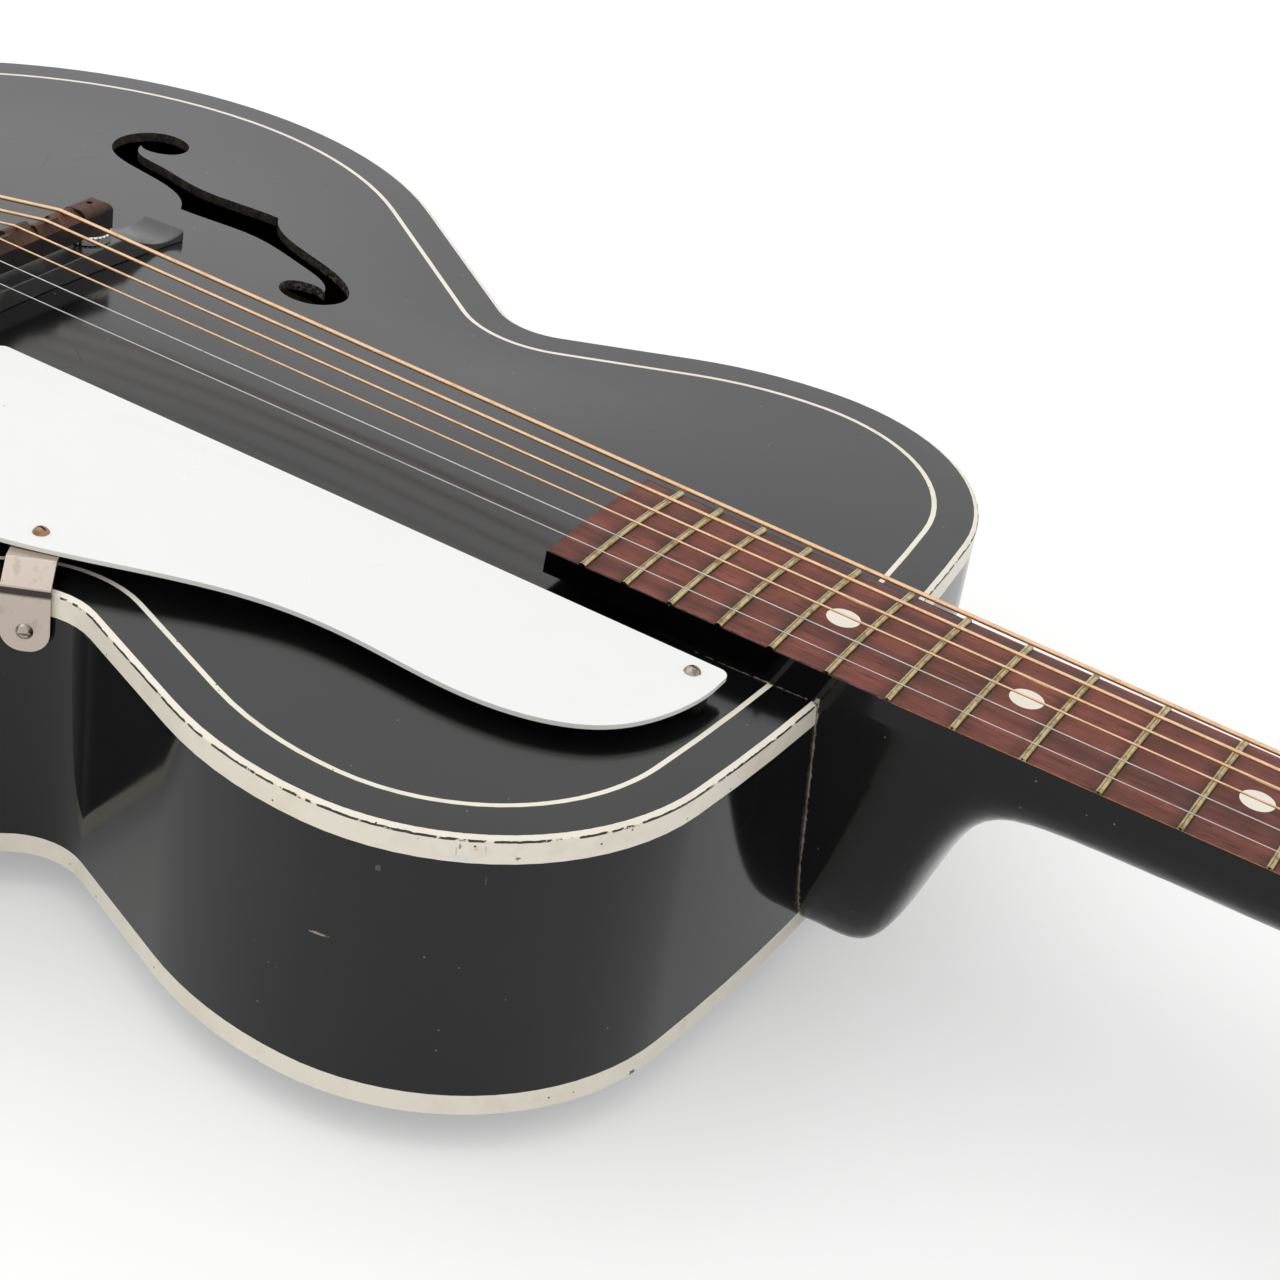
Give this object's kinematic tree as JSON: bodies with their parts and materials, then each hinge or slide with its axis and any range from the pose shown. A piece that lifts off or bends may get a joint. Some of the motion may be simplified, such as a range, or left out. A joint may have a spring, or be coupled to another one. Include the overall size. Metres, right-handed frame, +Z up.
{
  "type": "archtop acoustic guitar",
  "caption": "Hollow archtop guitar lying on its back, with f holes, height-adjustable bridge, trapeze tailpiece, raised pickguard and geared tuners.",
  "frame": {"origin": "under the middle of the guitar's box, on the plane that the swell of the back rests on", "axes": "+X from the tail to the head along the strings, +Y to the bass side, +Z up out of the top"},
  "size_m": [1.0406, 0.406, 0.1233],
  "materials": {
    "black_lacquer": "high gloss lacquer with fine scratches",
    "cream_binding": "aged, lightly worn",
    "spruce_inside": "raw",
    "rosewood": "satin, open grain",
    "black_base": "satin black",
    "brass": "worn bright",
    "pearloid": "polished",
    "bone": "polished",
    "white_guard": "glossy",
    "nickel": "slightly dulled",
    "cream_button": "polished",
    "bronze_string": "wound",
    "steel_string": "plain"
  },
  "bodies": {
    "guitar": {"top_plate": "black_lacquer", "back_plate": "black_lacquer", "bass_side": "black_lacquer", "treble_side": "black_lacquer", "top_binding": "cream_binding", "back_binding": "cream_binding", "top_purfling": "cream_binding", "neck_block": "spruce_inside", "tail_block": "spruce_inside", "top_lining": "spruce_inside", "back_lining": "spruce_inside", "tone_bars": "spruce_inside", "neck": "black_lacquer", "fretboard": "rosewood", "frets": "brass", "position_markers": "pearloid", "nut": "bone", "head_veneer": "black_lacquer", "pickguard": "white_guard", "pickguard_bracket": "nickel", "pickguard_screws": "nickel", "pickguard_spacer": "spruce_inside", "bridge_base": "black_base", "bridge_posts": "nickel", "tailpiece_hinge": "nickel", "tailpiece_screws": "nickel", "end_pin": "black_base", "tuner_plate_bass": "nickel", "tuner_plate_treble": "nickel", "post_ferrules": "nickel", "tuner_plate_screws": "nickel", "string_1": "steel_string", "string_2": "steel_string", "string_3": "bronze_string", "string_4": "bronze_string", "string_5": "bronze_string", "string_6": "bronze_string"},
    "saddle": {"bridge_saddle": "rosewood"},
    "tailpiece": {"tailpiece": "nickel"},
    "wheel_bass": {"thumbwheel_bass": "nickel"},
    "wheel_treble": {"thumbwheel_treble": "nickel"},
    "key_1": {"worm_shaft_1": "nickel", "tuner_button_1": "cream_button"},
    "post_1": {"string_post_1": "nickel"},
    "key_2": {"worm_shaft_2": "nickel", "tuner_button_2": "cream_button"},
    "post_2": {"string_post_2": "nickel"},
    "key_3": {"worm_shaft_3": "nickel", "tuner_button_3": "cream_button"},
    "post_3": {"string_post_3": "nickel"},
    "key_4": {"worm_shaft_4": "nickel", "tuner_button_4": "cream_button"},
    "post_4": {"string_post_4": "nickel"},
    "key_5": {"worm_shaft_5": "nickel", "tuner_button_5": "cream_button"},
    "post_5": {"string_post_5": "nickel"},
    "key_6": {"worm_shaft_6": "nickel", "tuner_button_6": "cream_button"},
    "post_6": {"string_post_6": "nickel"}
  },
  "joints": [
    {"name": "saddle_height", "type": "slide", "parent": "guitar", "child": "saddle", "axis": [0, 0, 1], "range_m": [0, 0.004], "deforming": ["string_1", "string_2", "string_3", "string_4", "string_5", "string_6"]},
    {"name": "tailpiece_swing", "type": "hinge", "parent": "guitar", "child": "tailpiece", "pos_m": [-0.48268, 0, 0.0984], "axis": [0, -1, 0], "range_deg": [0, 20], "deforming": ["string_1", "string_2", "string_3", "string_4", "string_5", "string_6"]},
    {"name": "wheel_bass_turn", "type": "hinge", "parent": "saddle", "child": "wheel_bass", "pos_m": [-0.29359, 0.038, 0.1129], "axis": [0, 0, 1], "range_deg": [-5, 2062.2]},
    {"name": "wheel_treble_turn", "type": "hinge", "parent": "saddle", "child": "wheel_treble", "pos_m": [-0.29359, -0.038, 0.1129], "axis": [0, 0, 1], "range_deg": [-5, 2062.2]},
    {"name": "key_1_turn", "type": "hinge", "parent": "guitar", "child": "key_1", "pos_m": [0.39578, -0.013, 0.05034], "axis": [0, -1, 0], "continuous": true},
    {"name": "post_1_turn", "type": "hinge", "parent": "guitar", "child": "post_1", "pos_m": [0.38979, -0.019, 0.05573], "axis": [0.284, 0, 0.9588], "continuous": true},
    {"name": "key_2_turn", "type": "hinge", "parent": "guitar", "child": "key_2", "pos_m": [0.43001, -0.013, 0.0402], "axis": [0, -1, 0], "continuous": true},
    {"name": "post_2_turn", "type": "hinge", "parent": "guitar", "child": "post_2", "pos_m": [0.42402, -0.019, 0.04559], "axis": [0.284, 0, 0.9588], "continuous": true},
    {"name": "key_3_turn", "type": "hinge", "parent": "guitar", "child": "key_3", "pos_m": [0.46424, -0.013, 0.03006], "axis": [0, -1, 0], "continuous": true},
    {"name": "post_3_turn", "type": "hinge", "parent": "guitar", "child": "post_3", "pos_m": [0.45825, -0.019, 0.03545], "axis": [0.284, 0, 0.9588], "continuous": true},
    {"name": "key_4_turn", "type": "hinge", "parent": "guitar", "child": "key_4", "pos_m": [0.46424, 0.013, 0.03006], "axis": [0, 1, 0], "continuous": true},
    {"name": "post_4_turn", "type": "hinge", "parent": "guitar", "child": "post_4", "pos_m": [0.45825, 0.019, 0.03545], "axis": [0.284, 0, 0.9588], "continuous": true},
    {"name": "key_5_turn", "type": "hinge", "parent": "guitar", "child": "key_5", "pos_m": [0.43001, 0.013, 0.0402], "axis": [0, 1, 0], "continuous": true},
    {"name": "post_5_turn", "type": "hinge", "parent": "guitar", "child": "post_5", "pos_m": [0.42402, 0.019, 0.04559], "axis": [0.284, 0, 0.9588], "continuous": true},
    {"name": "key_6_turn", "type": "hinge", "parent": "guitar", "child": "key_6", "pos_m": [0.39578, 0.013, 0.05034], "axis": [0, 1, 0], "continuous": true},
    {"name": "post_6_turn", "type": "hinge", "parent": "guitar", "child": "post_6", "pos_m": [0.38979, 0.019, 0.05573], "axis": [0.284, 0, 0.9588], "continuous": true}
  ],
  "couplings": [
    {"joint": "wheel_bass_turn", "follows": "saddle_height", "rad_per_m": 8976},
    {"joint": "wheel_treble_turn", "follows": "saddle_height", "rad_per_m": 8976},
    {"joint": "post_1_turn", "follows": "key_1_turn", "ratio": 0.071429},
    {"joint": "post_2_turn", "follows": "key_2_turn", "ratio": 0.071429},
    {"joint": "post_3_turn", "follows": "key_3_turn", "ratio": 0.071429},
    {"joint": "post_4_turn", "follows": "key_4_turn", "ratio": -0.071429},
    {"joint": "post_5_turn", "follows": "key_5_turn", "ratio": -0.071429},
    {"joint": "post_6_turn", "follows": "key_6_turn", "ratio": -0.071429}
  ]
}
